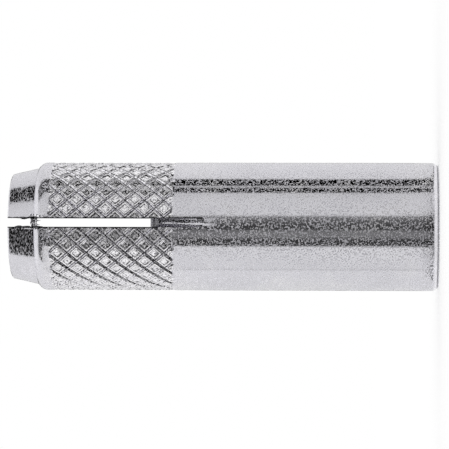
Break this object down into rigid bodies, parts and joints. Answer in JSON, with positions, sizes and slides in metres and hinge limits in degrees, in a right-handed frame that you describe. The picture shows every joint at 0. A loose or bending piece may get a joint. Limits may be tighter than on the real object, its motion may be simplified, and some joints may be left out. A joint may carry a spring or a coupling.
{
  "type": "drop-in anchor",
  "caption": "Zinc-plated steel drop-in anchor: a knurled, slotted expansion sleeve with an internal thread and a loose tapered setting plug inside.",
  "frame": {"origin": "on the sleeve's axis, in the plane of the threaded rim that the anchor stands on", "axes": "+Z along the sleeve's axis from the threaded rim to the slotted nose, -Y out of the slot that faces the front, +X to the right of that slot"},
  "size_m": [0.012, 0.012, 0.04],
  "materials": {
    "plated_sleeve": "bright zinc plating over turned and knurled steel, fine grain, faint turning marks",
    "plated_plug": "duller zinc plating on a plain turned slug"
  },
  "bodies": {
    "sleeve": {"anchor_sleeve": "plated_sleeve"},
    "plug": {"expander_plug": "plated_plug"}
  },
  "joints": [
    {"name": "plug_slide", "type": "slide", "parent": "sleeve", "child": "plug", "axis": [0, 0, 1], "range_m": [0, 0.005]}
  ]
}
